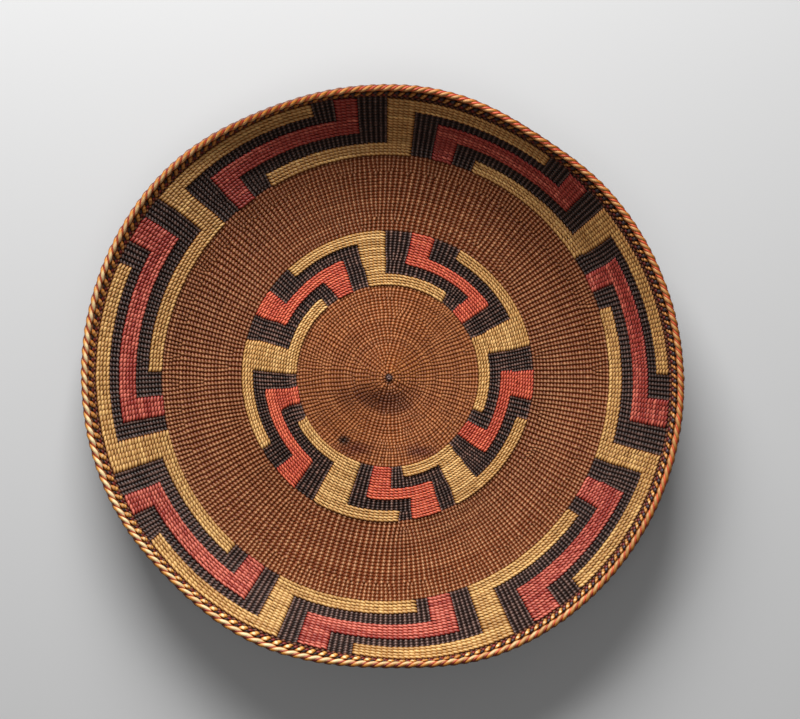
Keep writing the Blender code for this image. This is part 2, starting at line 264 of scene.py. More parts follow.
# Painted light by heading: the gold strands lighter, with painted highlights, about GOLDER_HEADING, and the
# red ones darker there as painted shade
GOLD_PLY_PAINTED_LIGHT = 0.34
RED_PLY_PAINTED_LIGHT = -0.28
CORD_SPLICE_SHARE = 0.4
# A cord strand's crest: painted highlight where it lies on top and on its upper side, painted shade where
# it lies under and on its underside
PLY_CREST = 0.46
PLY_CREST_SWING = 0.34
PLY_CREST_SLOPE = 0.28
PLY_SAMPLES = 4
PLY_SIDES = 8

# The start knot: its core and its tied strand, in metres and as shares of the start radius
KNOT_CORE_SHARE = 0.42
KNOT_CORE_RISE_SHARE = 0.80
KNOT_CORE_TIP_SHARE = 0.97
# The core has the crevices' painted shade, for the dark hole in the knot's middle
KNOT_CORE_CREST = 0.1
KNOT_CORE_RINGS = 9
KNOT_CORE_SIDES = 10
KNOT_REACH_SHARE = 0.68
KNOT_REACH_SWING = 0.26
KNOT_REACH_PHASE = 1.2
KNOT_STRAND_RADIUS = 0.00042
KNOT_STRAND_INSET = 0.00075
KNOT_STRAND_RISE = 0.00030
# The tied strand's crest: painted highlight where it stands out furthest, painted shade where it sinks in
KNOT_CREST = 0.45
KNOT_CREST_SWING = 0.4
KNOT_SAMPLES = 72
KNOT_SIDES = 8

# Fibres: how noise is stretched along a strand, its detail, and the scale and share of each layer
FIBRE_STRETCH = (0.10, 1.0, 1.0)
FIBRE_DETAIL = 2.0
FIBRE_LAYERS = ((2600.0, 0.65), (9000.0, 0.35))

# Where on a strand the painted shade of the crevice ends and the painted highlight of the crest
# begins, and the tones over which it turns to its pale colour, which also carries painted sheen
CREVICE_HEIGHT = 0.10
CREST_HEIGHT = 0.62
PALE_AND_SHEEN_TONES = (0.35, 0.95)

# Marks of age and painted shade: slow changes of tone, and the ragged edges of the stains and of the
# painted shade
SLOW_SCALE = 22.0
SLOW_SWING = 0.34
SLOW_LOWEST = 0.83
AGE_DETAIL = 3.0
RAGGED_SCALE = 260.0
RAGGED_SWING = 0.6
STAIN_EDGE = (1.6, 0.4)

# Stains and painted shade: place from the start knot, half sizes, depth and colour
STAINS_AND_PAINTED_SHADE = (
    (-0.0292, -0.0403, 0.0048, 0.0038, 1.00, (0.34, 0.34, 0.38)),
    (0.0200, -0.0475, 0.0125, 0.0048, 0.80, (0.60, 0.46, 0.56)),
    (-0.0225, -0.0460, 0.0135, 0.0056, 0.80, (0.62, 0.48, 0.58)),
    # Painted shade: these two darken the boss's skirt below the knot, which falls away from the key lamp
    (0.0000, -0.0160, 0.0190, 0.0110, 0.85, (0.62, 0.53, 0.48)),
    (-0.0190, -0.0120, 0.0180, 0.0085, 0.75, (0.68, 0.60, 0.54)),
    (-0.0002, -0.0008, 0.0034, 0.0036, 0.80, (0.50, 0.40, 0.44)),
    # This one lightens and warms the weave up and to the right of the knot
    (0.0115, 0.0060, 0.0200, 0.0130, 0.60, (1.04, 1.02, 0.84)),
)

# Gloss and relief of a strand's fibres
DULLER_BY = 0.12
GLOSSIER_BY = 0.08
SPECULAR_LEVEL = 0.4
BUMP_DISTANCE = 0.0001

# Strand materials: name, hold, swings of tone and of fibres, roughness, strength of the stains and
# of the painted shade, and bump, then the colours as they look on a screen: the painted shade of the
# crevices, the body, a pale body that also carries painted sheen, and the painted highlight of the crests
FINISHES = {
    "centre_brown": (
        "centre_brown_root", 0.35, 0.34, 0.30, 0.45, 1.0, 0.5,
        (0.54, 0.25, 0.06), (0.55, 0.28, 0.10), (0.59, 0.33, 0.15), (0.81, 0.55, 0.35),
    ),
    "brown": (
        "brown_root", 0.35, 0.34, 0.30, 0.45, 1.0, 0.5,
        (0.47, 0.20, 0.07), (0.53, 0.28, 0.13), (0.58, 0.35, 0.20), (0.85, 0.65, 0.47),
    ),
    # The inner band's dark takes more of its tone, with a lighter pale colour and crest, to paint more
    # sheen on it across from the key lamp than on the outer band's
    "inner_dark": (
        "inner_dark_dyed_root", 0.55, 0.60, 0.30, 0.45, 0.3, 0.5,
        (0.12, 0.06, 0.045), (0.19, 0.12, 0.095), (0.34, 0.235, 0.195), (0.66, 0.49, 0.425),
    ),
    "outer_dark": (
        "outer_dark_dyed_root", 0.35, 0.44, 0.30, 0.45, 0.3, 0.5,
        (0.12, 0.065, 0.05), (0.20, 0.128, 0.105), (0.31, 0.22, 0.19), (0.54, 0.42, 0.375),
    ),
    "border": (
        "red_brown_root", 0.35, 0.40, 0.30, 0.55, 0.0, 0.5,
        (0.16, 0.06, 0.03), (0.34, 0.15, 0.08), (0.40, 0.21, 0.12), (0.60, 0.38, 0.24),
    ),
    "warp": (
        "pale_root", 0.35, 0.30, 0.30, 0.65, 0.0, 0.4,
        (0.46, 0.22, 0.08), (0.54, 0.29, 0.12), (0.58, 0.34, 0.17), (0.66, 0.46, 0.28),
    ),
    "inner_gold": (
        "inner_gold_grass", 0.35, 0.30, 0.30, 0.40, 0.2, 0.4,
        (0.42, 0.22, 0.05), (0.71, 0.45, 0.15), (0.78, 0.57, 0.32), (0.98, 0.80, 0.52),
    ),
    "inner_red": (
        "inner_red_dyed_grass", 0.35, 0.32, 0.30, 0.42, 0.2, 0.4,
        (0.36, 0.05, 0.03), (0.71, 0.15, 0.10), (0.75, 0.27, 0.17), (0.96, 0.50, 0.35),
    ),
    # The outer band's gold and red are darker than the inner band's: partly their own deeper colour, partly
    # painted shade of the sloping wall
    "outer_gold": (
        "outer_gold_grass", 0.35, 0.30, 0.30, 0.40, 0.2, 0.4,
        (0.33, 0.15, 0.03), (0.61, 0.36, 0.11), (0.65, 0.45, 0.22), (0.94, 0.76, 0.48),
    ),
    "outer_red": (
        "outer_red_dyed_grass", 0.65, 0.32, 0.30, 0.42, 0.2, 0.4,
        (0.24, 0.02, 0.02), (0.54, 0.06, 0.05), (0.56, 0.15, 0.11), (0.88, 0.48, 0.39),
    ),
    "rim_gold": (
        "rim_gold_grass", 0.80, 0.36, 0.26, 0.42, 0.0, 0.4,
        (0.42, 0.20, 0.04), (0.76, 0.46, 0.13), (0.84, 0.57, 0.23), (1.0, 0.91, 0.70),
    ),
    "rim_deep_gold": (
        "rim_deep_gold_grass", 0.35, 0.36, 0.26, 0.42, 0.0, 0.4,
        (0.34, 0.14, 0.03), (0.60, 0.33, 0.10), (0.74, 0.48, 0.18), (0.88, 0.66, 0.36),
    ),
    "rim_black": (
        "rim_black_grass", 0.35, 0.40, 0.30, 0.45, 0.0, 0.4,
        (0.05, 0.03, 0.03), (0.12, 0.07, 0.075), (0.17, 0.12, 0.12), (0.36, 0.29, 0.30),
    ),
    "rim_red": (
        "rim_red_grass", 0.35, 0.40, 0.30, 0.45, 0.0, 0.4,
        (0.13, 0.02, 0.025), (0.30, 0.05, 0.06), (0.44, 0.12, 0.09), (0.58, 0.20, 0.16),
    ),
    "edge_red": (
        "edge_red_grass", 0.50, 0.40, 0.28, 0.42, 0.0, 0.4,
        (0.26, 0.04, 0.02), (0.52, 0.13, 0.07), (0.74, 0.24, 0.10), (0.88, 0.42, 0.26),
    ),
    "knot": (
        "knot_root", 0.35, 0.30, 0.30, 0.55, 0.0, 0.4,
        (0.16, 0.08, 0.07), (0.36, 0.24, 0.21), (0.42, 0.31, 0.29), (0.80, 0.66, 0.62),
    ),
}

# Light, floor and camera. A lamp is its heading and height in degrees, and the light that a card
# square to it gets. Sizes are in metres, and the sensor's in millimetres.
LAMP_DISTANCE = 1.6
LAMP_SIZE = (1.1, 0.7)
KEY_LAMP = (-10.0, 29.0, 1.58)
OVERHEAD_LAMP = (180.0, 75.0, 0.10)
FILL_LIGHT = 0.10
BACKDROP_LIGHT = 0.8
FLOOR_REACH = 3.0
FLOOR_LINES = 13
FLOOR_DROP = 0.0002
FLOOR_COLOUR = (0.86, 0.86, 0.86)
FLOOR_ROUGHNESS = 0.9
SENSOR_WIDTH = 36.0
NEAR_CLIP = 0.05
CAMERA_HEIGHT = 1.9
VIEW_WIDTH = 0.516
VIEW_MIDDLE = (0.01146, 0.01011)

# The table of the tray's surface, in steps round and outwards, and how far an end face of a tube
# reaches in its place on the bake map
FULL_TURN = 360.0
TURN_STEPS = 720
ARC_STEPS = 800
BAKED_END_REACH = 0.4
JUST_BELOW_ONE = 1.0 - 1e-9
TINY = 1e-12

# Every random value comes from one generator. WARP_HAND is how much thicker each warp is, by its name.
SEED = 17
MOST_WARPS = 400
RANDOM = np.random.default_rng(SEED)
WARP_HAND = RANDOM.normal(0.0, 1.0, MOST_WARPS)


def smooth(share):
    """An even S-curve: 0 at and below 0, 1 at and above 1."""
    share = np.clip(share, 0.0, 1.0)
    return share * share * (3.0 - 2.0 * share)


def unit(vectors):
    """The vectors at length one."""
    return vectors / np.maximum(np.linalg.norm(vectors, axis=-1, keepdims=True), TINY)


def turn_from(heading, turn):
    """Turn past a heading, at most half a turn either way."""
    return (turn - heading + 0.5 * FULL_TURN) % FULL_TURN - 0.5 * FULL_TURN


def lean_round(mean, waves, dents, turn):
    """The mean lean, plus a cosine for each wave and a bell for each dent, at each turn."""
    lean = np.full_like(turn, mean)
    for order, heading, swing in waves:
        lean = lean + swing * np.cos(np.radians(order * (turn - heading)))
    for heading, half_width, extra in dents:
        lean = lean + extra * np.exp(-((turn_from(heading, turn) / half_width) ** 2))
    return lean


def wall_lean(arc, turn):
    """Lean of the weave in radians: the boss falls outwards, the base is level, the wall rises."""
    band = lean_round(BAND_LEAN, BAND_WAVES, BAND_DENTS, turn)
    rim = lean_round(RIM_LEAN, RIM_WAVES, RIM_DENTS, turn)
    crown = smooth(arc / (BOSS_CROWN_SHARE * BOSS_RUN))
    skirt = smooth((arc / BOSS_RUN - BOSS_SKIRT_SHARE) / (1.0 - BOSS_SKIRT_SHARE))
    lean = -BOSS_LEAN * crown * (1.0 - skirt)
    lean = lean + MIDDLE_LEAN * smooth((arc - INNER_END) / (MIDDLE_RISE_SHARE * MIDDLE_RUN))
    rise = smooth((arc - MIDDLE_END) / (BAND_RISE_SHARE * OUTER_BAND_RUN))
    lean = lean + (band - MIDDLE_LEAN) * rise
    rise = smooth((arc - OUTER_END) / (BORDER_ROW_RUN + RIM_RISE_SHARE * RIM_ROW_RUN))
    return np.radians(lean + (rim - band) * rise)


def surface_table():
    """Radius, height and lean of the weave's underside on a grid of turns and arc lengths.

    The radius sums the cosine of the lean along the arc and the height its sine. The inner band sits
    off the start knot by BOSS_OFFSET, which comes in smoothly over the centre, and the wall sits off
    the inner band by WALL_OFFSET, which comes in over the middle.
    """
    arc = np.linspace(0.0, LAST_ARC, ARC_STEPS)
    turn = np.linspace(0.0, FULL_TURN, TURN_STEPS + 1)[:, None]
    lean = wall_lean(arc[None, :], turn)
    step = arc[1]
    radius = np.zeros_like(lean)
    height = np.zeros_like(lean)
    radius[:, 1:] = np.cumsum(0.5 * step * (np.cos(lean[:, 1:]) + np.cos(lean[:, :-1])), axis=1)
    height[:, 1:] = np.cumsum(0.5 * step * (np.sin(lean[:, 1:]) + np.sin(lean[:, :-1])), axis=1)
    shift = BOSS_OFFSET * smooth(arc / CENTRE_END)[None, :]
    radius = radius - shift * np.cos(np.radians(turn - BOSS_HEADING))
    shift = WALL_OFFSET * smooth((arc - INNER_END) / MIDDLE_RUN)[None, :]
    radius = radius + shift * np.cos(np.radians(turn - WALL_HEADING))
    height = height - np.interp(INNER_END, arc, height[0])
    return np.stack([radius, height, lean], axis=-1)


TABLE = surface_table()


def on_weave(arc, turn):
    """Radius, height and lean at any arc length and turn, read between the table's four nearest."""
    along = np.clip(arc / LAST_ARC, 0.0, 1.0) * (ARC_STEPS - 1.0) * JUST_BELOW_ONE
    about = (turn % FULL_TURN) / FULL_TURN * TURN_STEPS
    i = along.astype(int)
    j = about.astype(int)
    near = (along - i)[..., None]
    side = (about - j)[..., None]
    low = TABLE[j, i] * (1.0 - near) + TABLE[j, i + 1] * near
    high = TABLE[j + 1, i] * (1.0 - near) + TABLE[j + 1, i + 1] * near
    return np.moveaxis(low * (1.0 - side) + high * side, -1, 0)


def place(arc, turn, lift):
    """Points on the tray: the underside at an arc length and turn, moved by lift square to it."""
    arc, turn, lift = np.broadcast_arrays(arc, turn, lift)
    radius, height, lean = on_weave(arc, turn)
    radius = radius - lift * np.sin(lean)
    height = height + lift * np.cos(lean)
    angle = np.radians(turn)
    return np.stack([radius * np.sin(angle), radius * np.cos(angle), height], axis=-1) + KNOT_PLACE


def up_the_wall(arc, turn):
    """Unit vectors that point outwards along the weave."""
    arc, turn = np.broadcast_arrays(arc, turn)
    lean = on_weave(arc, turn)[2]
    angle = np.radians(turn)
    outward = np.cos(lean)
    return np.stack([outward * np.sin(angle), outward * np.cos(angle), np.sin(lean)], axis=-1)


def wander(arc, turn):
    """How far a row strays from its arc length: a sum of slow waves, none at the rim."""
    waves = 0.0
    for share, order, phase, gain in WANDER_WAVES:
        waves = waves + share * np.sin(np.radians(order * turn) + phase + gain * arc)
    return ROW_WANDER * waves * (1.0 - smooth((arc - OUTER_END + WANDER_END_RUN) / WANDER_END_RUN))


class Row:
    """One row of the weave: its arc length, its height along the wall and where its warps are."""

    def __init__(self, arc, pitch):
        self.arc = arc
        self.pitch = pitch
        self.names = None
        self.turns = None

    def turn_at(self, warp):
        """Turn at a place counted in warps, read between the middles of its neighbours."""
        count = len(self.turns)
        around = np.concatenate([self.turns[-2:] - FULL_TURN, self.turns, self.turns[:3] + FULL_TURN])
        return np.interp(warp, np.arange(-2, count + 3), around)

    def ridge_at(self, warp):
        """How much thicker than the rest the nearest warps are, from about -2 to 2."""
        hand = WARP_HAND[self.names]
        return np.interp(warp, np.arange(len(hand) + 1), np.append(hand, hand[0]))

    def arc_at(self, turn):
        """Arc length of the row's middle line at each turn."""
        return self.arc + wander(self.arc, turn)

    def warp_pitch(self):
        """Distance from warp to warp in metres, for the row's radius at turn 0."""
        return 2.0 * np.pi * on_weave(np.array(self.arc), np.array(0.0))[0] / len(self.turns)

    def along(self, samples):
        """Evenly spaced places round the row, counted in warps, with so many samples to a warp."""
        return np.arange(len(self.turns) * samples) / samples


def rows_of(start, run, count):
    """Evenly spaced rows from start to start + run."""
    pitch = run / count
    return [Row(start + (k + 0.5) * pitch, pitch) for k in range(count)]


def set_out_warps(rows):
    """Places the warps on every row.

    A row holds as many warps as WARP_COUNTS gives, made even. New ones squeeze in where the gaps
    are widest, spread round the tray, and widen over WARP_GROW_ROWS rows. From row to row a warp
    keeps its turn, and then settles: a few times over, each moves half way to the place between
    its neighbours that shares the gap by their widths.
    """
    arcs, counts = np.array(WARP_COUNTS).T
    order = np.arange(int(counts[0]))
    turns = FULL_TURN * (order + 0.5) / len(order)
    born = np.full(len(order), -WARP_GROW_ROWS)
    for k, row in enumerate(rows):
        extra = max(0, 2 * int(round(np.interp(row.arc, arcs, counts) / 2.0)) - len(order))
        if extra:
            gaps = np.diff(np.append(turns, turns[0] + FULL_TURN))
            chance = np.cumsum(gaps**WIDE_GAP_POWER)
            spread = (np.arange(extra) + RANDOM.uniform(*NEW_WARP_SPREAD, extra)) / extra
            spots = np.unique(np.searchsorted(chance, spread * chance[-1]))
            free = np.setdiff1d(np.arange(len(order)), spots)
            widest = free[np.argsort(-gaps[free])][: extra - len(spots)]
            spots = np.sort(np.concatenate([spots, widest]))
            turns = np.insert(turns, spots + 1, turns[spots] + 0.5 * gaps[spots])
            order = np.insert(order, spots + 1, np.arange(len(born), len(born) + extra))
            born = np.concatenate([born, np.full(extra, float(k))])
        grown = smooth((k - born[order] + 1.0) / WARP_GROW_ROWS)
        width = WARP_BIRTH_SHARE + (1.0 - WARP_BIRTH_SHARE) * grown
        width = width * (1.0 + WARP_UNEVEN * np.sin(order * WARP_UNEVEN_STEP))
        after = 1.0 / (width + np.roll(width, -1))
        before = np.roll(after, 1)
        for _ in range(WARP_SETTLING):
            onward = np.append(turns[1:], turns[0] + FULL_TURN)
            back = np.append(turns[-1] - FULL_TURN, turns[:-1])
            turns = 0.5 * turns + 0.5 * (after * onward + before * back) / (after + before)
        row.names = order.copy()
        row.turns = turns.copy()


def corner_angles(sides):
    """Angles of a section's corners from its width: one corner is on top."""
    return 2.0 * np.pi * np.arange(sides) / sides + 0.5 * np.pi


def sweep(line, across, half_width, half_height, sides, closed):
    """Rings of points round lines.

    Each ring is square to its line. Its corners lie on an ellipse, and its sides touch the ellipse
    of the given half sizes. The width lies as near as it can to the vector across, and the height
    square to both. line and across have the shape lines, rings, 3.
    """
    if closed:
        ahead = np.roll(line, -1, axis=1) - np.roll(line, 1, axis=1)
    else:
        ahead = np.gradient(line, axis=1)
    ahead = unit(ahead)
    upward = unit(np.cross(ahead, across))
    outward = np.cross(upward, ahead)
    around = corner_angles(sides)
    reach = 1.0 / np.cos(np.pi / sides)
    wide = reach * half_width[..., None] * np.cos(around)
    high = reach * half_height[..., None] * np.sin(around)
    points = outward[..., None, :] * wide[..., None] + upward[..., None, :] * high[..., None]
    return line[..., None, :] + points, wide, high


class Strands:
    """Tubes of one piece, gathered until they are made one mesh.

    Every tube is a stack of rings with the same number of sides, joined into a loop or closed by a
    face at each end. Each point also has a crest, 0 deep in the weave and 1 on top of a bead, which
    sets painted shade and painted highlight, a tone, which also carries painted light, and a place in
    its strand: along it and within its section.
    """

    def __init__(self):
        self.tubes = []
        self.values = {"crest": [], "tone": [], "fibre": []}

    def add(self, line, across, half_width, half_height, sides, closed, run, crest, slope, tone):
        """Adds tubes along lines, which have the shape lines, rings, 3, or along one line.

        The other values are one for each ring or one for all. The crest grows by the slope from the
        strand's own middle to its top, and falls by it to its underside.
        """
        line = line.reshape(-1, *line.shape[-2:])
        half_width, half_height, run, crest, slope, tone = (
            np.broadcast_to(value, line.shape[:2])
            for value in (half_width, half_height, run, crest, slope, tone)
        )
        across = np.broadcast_to(across, line.shape)
        points, wide, high = sweep(line, across, half_width, half_height, sides, closed)
        crest = crest[..., None] + slope[..., None] * np.sin(corner_angles(sides))
        run = np.broadcast_to(run[..., None], wide.shape)
        self.tubes.append((points, closed))
        self.values["crest"].append(np.clip(crest, 0.0, 1.0).ravel())
        self.values["tone"].append(np.repeat(np.clip(tone, 0.0, 1.0).ravel(), sides))
        self.values["fibre"].append(np.stack([run, wide, high], axis=-1).ravel())

    def faces(self):
        """Corner lists of every face, each face's size, and every corner's place on the bake map.

        On the bake map the faces that leave a ring stand in one column, and the columns are folded
        into lines. The last ring of an open tube has the two end faces in its column.
        """
        cells = sum(points.shape[0] * points.shape[1] * points.shape[2] for points, _ in self.tubes)
        per_line = int(np.ceil(np.sqrt(cells)))
        corners, sizes, places = [], [], []
        first = 0
        low = 0
        for points, closed in self.tubes:
            tubes, rings, sides = points.shape[:3]
            index = first + np.arange(tubes * rings * sides).reshape(tubes, rings, sides)
            onward = np.roll(index, -1, axis=1)
            beside = np.roll(index, -1, axis=2)
            beyond = np.roll(onward, -1, axis=2)
            quads = np.stack([index, beside, beyond, onward], axis=-1)
            cell = np.arange(tubes * rings).reshape(tubes, rings, 1, 1)
            column = cell % per_line
            level = low + cell // per_line * sides
            side = np.arange(sides)[:, None]
            across = column + np.array([0, 0, 1, 1]) + 0 * side
            upward = level + side + np.array([0, 1, 1, 0])
            joined = rings if closed else rings - 1
            corners.append(quads[:, :joined].ravel())
            sizes.append(np.full(tubes * joined * sides, 4))
            places.append(np.stack([across, upward], axis=-1)[:, :joined].reshape(-1, 2))
            if not closed:
                ends = np.stack([index[:, 0, ::-1], index[:, -1]], axis=1)
                angle = corner_angles(sides)
                spot = 0.5 + BAKED_END_REACH * np.stack([np.cos(angle), np.sin(angle)], axis=-1)
                spot = spot * np.array([1.0, 0.5 * sides])
                spot = np.stack([spot, spot + np.array([0.0, 0.5 * sides])])
                corner = np.stack([column[:, -1], level[:, -1]], axis=-1)
                corners.append(ends.ravel())
                sizes.append(np.full(2 * tubes, sides))
                places.append((corner + spot).reshape(-1, 2))
            first += index.size
            low += (tubes * rings + per_line - 1) // per_line * sides
        places = np.concatenate(places) / np.array([per_line, low])
        return np.concatenate(corners), np.concatenate(sizes), places

    def make(self, name, finish, slot, *nodes):
        """Makes the piece: one mesh with its values, its finish, its body and what it stands for."""
        corners, sizes, places = self.faces()
        points = np.concatenate([tubes.reshape(-1, 3) for tubes, _ in self.tubes])
        mesh = bpy.data.meshes.new(name)
        mesh.vertices.add(len(points))
        mesh.vertices.foreach_set("co", points.astype(np.float32).ravel())
        mesh.loops.add(len(corners))
        mesh.loops.foreach_set("vertex_index", corners.astype(np.int32))
        mesh.polygons.add(len(sizes))
        mesh.polygons.foreach_set("loop_start", (np.cumsum(sizes) - sizes).astype(np.int32))
        mesh.update(calc_edges=True)
        mesh.shade_smooth()
        for label, values in self.values.items():
            kind, key = ("FLOAT_VECTOR", "vector") if label == "fibre" else ("FLOAT", "value")
            kept = mesh.attributes.new(label, kind, "POINT")
            kept.data.foreach_set(key, np.concatenate(values).astype(np.float32))
        bake_map = mesh.uv_layers.new(name="OFBake")
        bake_map.uv.foreach_set("vector", places.astype(np.float32).ravel())
        mesh.materials.append(finish)
        piece = bpy.data.objects.new(name, mesh)
        bpy.context.scene.collection.objects.link(piece)
        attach(piece, "root")
        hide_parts(*nodes)


def hand_variation(row, samples, size):
    """A little unevenness along a row: one random value for each warp, joined up round the row."""
    values = RANDOM.normal(0.0, size, len(row.turns))
    return np.interp(row.along(samples), np.arange(len(values) + 1), np.append(values, values[0]))


def spliced_tones(row, samples, length):
    """Tones along a strand, which is pieced from roots or grasses that reach over length warps each."""
    count = len(row.turns)
    starts = np.sort(RANDOM.uniform(0.0, count, max(2, count // length)))
    tones = np.clip(RANDOM.normal(MEAN_TONE, SPLICE_SWING, len(starts)), 0.0, 1.0)
    tone = tones[np.searchsorted(starts, row.along(samples)) - 1]
    return tone + hand_variation(row, samples, TONE_GRAIN)


def past_centre(row):
    """0 for a row of the centre, 1 from early in the inner band on, and an S-curve between."""
    return smooth((row.arc - CENTRE_END) / (CENTRE_FADE_SHARE * INNER_BAND_RUN))


def painted_sheen_and_shade(row, turn):
    """Painted sheen in the tone beyond the centre across from the key lamp, painted shade on its side, most
    at the rim.
    """
    share = INNER_PAINTED_LIGHT_SHARE * past_centre(row)
    share = share + (1.0 - INNER_PAINTED_LIGHT_SHARE) * smooth((row.arc - INNER_END) / MIDDLE_RUN)
    return PAINTED_LIGHT_SWING * share * np.cos(np.radians(turn - PAINTED_SHEEN_HEADING))


def twine(
    strands, row, phase, samples, sides, swing, height, slant, neck, belly, blunt, edge, bias,
    rise=0.0, lag=0.0, offset=0.0, painted_light=0.0,
):
    """Adds one closed strand of a twined row.

    Along the row the strand turns half a turn for every warp, so that it lies over one warp and
    under the next. Its lift follows the cosine of that turn plus the bias, blunted, and its arc
    length the sine, which slants each bead: the lag, a share of the doubled turn's sine, makes the
    slant longer. From its neck between the warps it widens by its belly over and under them, and
    between them it rises in thickness. A thick warp lifts it more, and it never reaches below the
    underside. Its crest grows with its swing to either face, and its sides lose the share edge.
    """
    warp = row.along(samples)
    turn = row.turn_at(warp)
    twist = np.pi * (warp + phase)
    over = np.cos(twist) + bias
    face = np.sign(over) * (np.abs(over) / (1.0 + np.abs(bias))) ** blunt
    ridge = row.ridge_at(warp)
    uneven = hand_variation(row, samples, HAND_LIFT) + RIDGE_LIFT * ridge
    lift = np.maximum(MID_LIFT + (swing + uneven) * face, height)
    arc = row.arc_at(turn) + offset + slant * (np.sin(twist) - lag * np.sin(2.0 * twist))
    width = (neck + belly * np.abs(face)) * (1.0 + hand_variation(row, samples, HAND_WIDTH_SHARE))
    run = row.warp_pitch() * warp + RANDOM.uniform(0.0, 1.0)
    # The tone also carries painted sheen and painted shade by heading
    tone = spliced_tones(row, samples, ROOT_WARPS) + RIDGE_TONE * ridge + painted_sheen_and_shade(row, turn) + painted_light
    # The crest sets painted highlight on the beads' tops and painted shade in the crevices and on the sides
    crest = np.abs(face) ** CREST_SHARPNESS
    strands.add(
        place(arc, turn, lift), up_the_wall(arc, turn), width, height + rise * (1.0 - np.abs(face)),
        sides, True, run, crest * (1.0 - edge), crest * edge * np.sign(face), tone,
    )


def weave_ring(name, rows, parts, finish, slot):
    """A ring of plain twined rows, two strands to a row, in parts so that no piece is too heavy.

    In the centre a strand is flatter, and a little wider between the warps than over and under them.
    """
    for number, share in enumerate(np.array_split(np.arange(len(rows)), parts), 1):
        strands = Strands()
        for k in share:
            row = rows[k]
            central = 1.0 - past_centre(row)
            for phase in (0, 1):
                twine(
                    strands, row, phase, STRAND_SAMPLES, STRAND_SIDES,
                    swing=STRAND_SWING - CENTRE_SWING_CUT * central,
                    height=STRAND_HALF_HEIGHT,
                    rise=STRAND_RISE,
                    slant=(STRAND_SLANT_SHARE - CENTRE_SLANT_CUT_SHARE * central) * row.pitch,
                    neck=(STRAND_NECK_SHARE + CENTRE_WIDER_SHARE * central) * row.pitch,
                    belly=(STRAND_BELLY_SHARE - CENTRE_WIDER_SHARE * central) * row.pitch,
                    bias=STRAND_BIAS,
                    blunt=STRAND_BLUNT - CENTRE_BLUNT_CUT * central,
                    edge=STRAND_EDGE - CENTRE_EDGE_CUT * central,
                )
        label = name if parts == 1 else f"{name}_{number}"
        strands.make(label, finish, slot, f"{name}_back", f"{name}_front")


def warps(rows, finish):
    """Every warp, from the row where it starts to the edge cord, as a flat tapered splint."""
    strands = Strands()
    for name in rows[-1].names:
        track = [(row, int(np.flatnonzero(row.names == name)[0])) for row in rows if name in row.names]
        track = track[:-1:2] + track[-1:]
        arc = np.array([row.arc for row, _ in track])
        turn = np.array([row.turns[spot] for row, spot in track])
        width = np.array([row.warp_pitch() for row, _ in track]) * WARP_WIDTH_SHARE
        arc[0] -= min(0.5 * track[0][0].pitch, arc[0] - WARP_START_SHARE * START_RADIUS)
        arc[-1] = CORD_ARC - 0.5 * CORD_RADIUS
        width[0] *= WARP_TIP_SHARE
        angle = np.radians(turn)
        sideways = np.stack([-np.cos(angle), np.sin(angle), 0.0 * angle], axis=-1)
        strands.add(
            place(arc, turn, MID_LIFT), sideways, width, WARP_HALF_HEIGHT, WARP_SIDES, False,
            arc, WARP_CREST, 0.0, RANDOM.uniform(*WARP_TONES),
        )
    strands.make("warps", finish, "warp", "warps")


def stitches(strands, row, spots):
    """Adds overlay stitches on a row, one over each warp in spots.

    A stitch is a spindle that crosses its warp at a slant, from the row's outer side at the warp
    before it to the row's inner side at the warp after it. It is highest at its middle and drops
    away with the square of the distance, and its width and height follow a blunt half circle.
    """
    along = np.linspace(-1.0, 1.0, STITCH_RINGS)
    each = (len(spots), 1)
    warp = spots[:, None] + STITCH_REACH_SHARE * along
    turn = row.turn_at(warp)
    round_off = np.sqrt(1.0 - np.abs(STITCH_TIP_SHARE * along) ** STITCH_BLUNT)
    wider = smooth((row.arc - MIDDLE_END) / OUTER_BAND_RUN)
    share = STITCH_WIDTH_SHARE + (STITCH_OUTER_WIDTH_SHARE - STITCH_WIDTH_SHARE) * wider
    width = share * row.pitch * round_off * (1.0 + RANDOM.normal(0.0, STITCH_UNEVEN, each))
    shift = RANDOM.normal(0.0, STITCH_SHIFT_SHARE, each) - STITCH_SLANT_SHARE * along
    arc = row.arc_at(turn) + shift * row.pitch
    lift = STITCH_LIFT - STITCH_DROP * along**2 + RANDOM.normal(0.0, STITCH_LIFT_UNEVEN, each)
    tone = spliced_tones(row, 1, GRASS_WARPS)[spots.astype(int), None]
    # The tone also carries painted sheen and painted shade by heading
    tone = tone + RANDOM.normal(0.0, STITCH_TONE_UNEVEN, each) + painted_sheen_and_shade(row, turn)
    crest = 1.0 - STITCH_CREST_DROP * along**2
    strands.add(
        place(arc, turn, lift), up_the_wall(arc, turn), width, STITCH_HALF_HEIGHT * round_off,
        STITCH_SIDES, False, row.warp_pitch() * warp,
        crest * (1.0 - STITCH_EDGE), crest * STITCH_EDGE, tone,
    )


def turns_on(row, other):
    """Turn that each of the row's warps has on the other row, or lies between where it isn't there yet."""
    known = np.isin(row.names, other.names)
    home = dict(zip(other.names.tolist(), other.turns.tolist()))
    turns = [home[name] for name in row.names[known].tolist()]
    return np.interp(np.arange(len(known)), np.flatnonzero(known), turns)


def past_edge(row, rows, edge, side):
    """Which of the row's warps lie past an edge of a figure, on its side 1 or -1.

    An edge is a turn and the rows that it runs along. A warp's turn is its mean on the first, middle
    and last of them, so that the edge keeps to one warp. A warp's own stitch reaches over the edge by
    STITCH_OVERHANG_SHARE less than the pitch.
    """
    turn, row_from, row_to = edge
    middle = rows[(row_from + row_to) // 2]
    turns = np.mean([turns_on(row, other) for other in (rows[row_from], middle, rows[row_to - 1])], axis=0)
    return side * turn_from(turn, turns) > STITCH_OVERHANG_SHARE * FULL_TURN / len(middle.turns)


